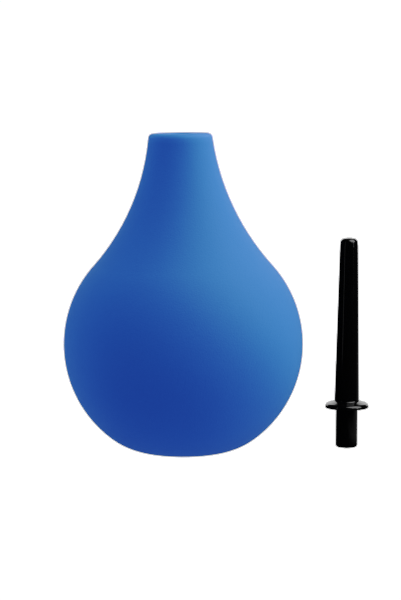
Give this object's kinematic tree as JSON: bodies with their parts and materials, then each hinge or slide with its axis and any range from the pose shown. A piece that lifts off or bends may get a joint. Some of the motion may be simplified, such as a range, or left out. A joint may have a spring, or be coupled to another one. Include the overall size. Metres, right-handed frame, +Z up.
{
  "type": "bulb syringe",
  "caption": "Squeezable pear-shaped bulb with a thick bored neck for filling pipettes, and a separate hollow tapered nozzle with a flange and a plug that fits the neck.",
  "frame": {"origin": "centre of the flat foot that the bulb stands on", "axes": "+Z up along the bulb's axis towards its mouth, +X towards the nozzle that stands beside it, -Y towards the viewer"},
  "size_m": [0.1158, 0.09, 0.12],
  "materials": {
    "bulb_rubber": "matte blue, soft-touch",
    "nozzle_plastic": "glossy black"
  },
  "bodies": {
    "bulb": {"bulb": "bulb_rubber"},
    "nozzle": {"nozzle": "nozzle_plastic"}
  },
  "joints": [
    {"name": "nozzle_lift", "type": "slide", "parent": "bulb", "child": "nozzle", "axis": [0, 0, 1], "range_m": [0, 0.13]}
  ]
}
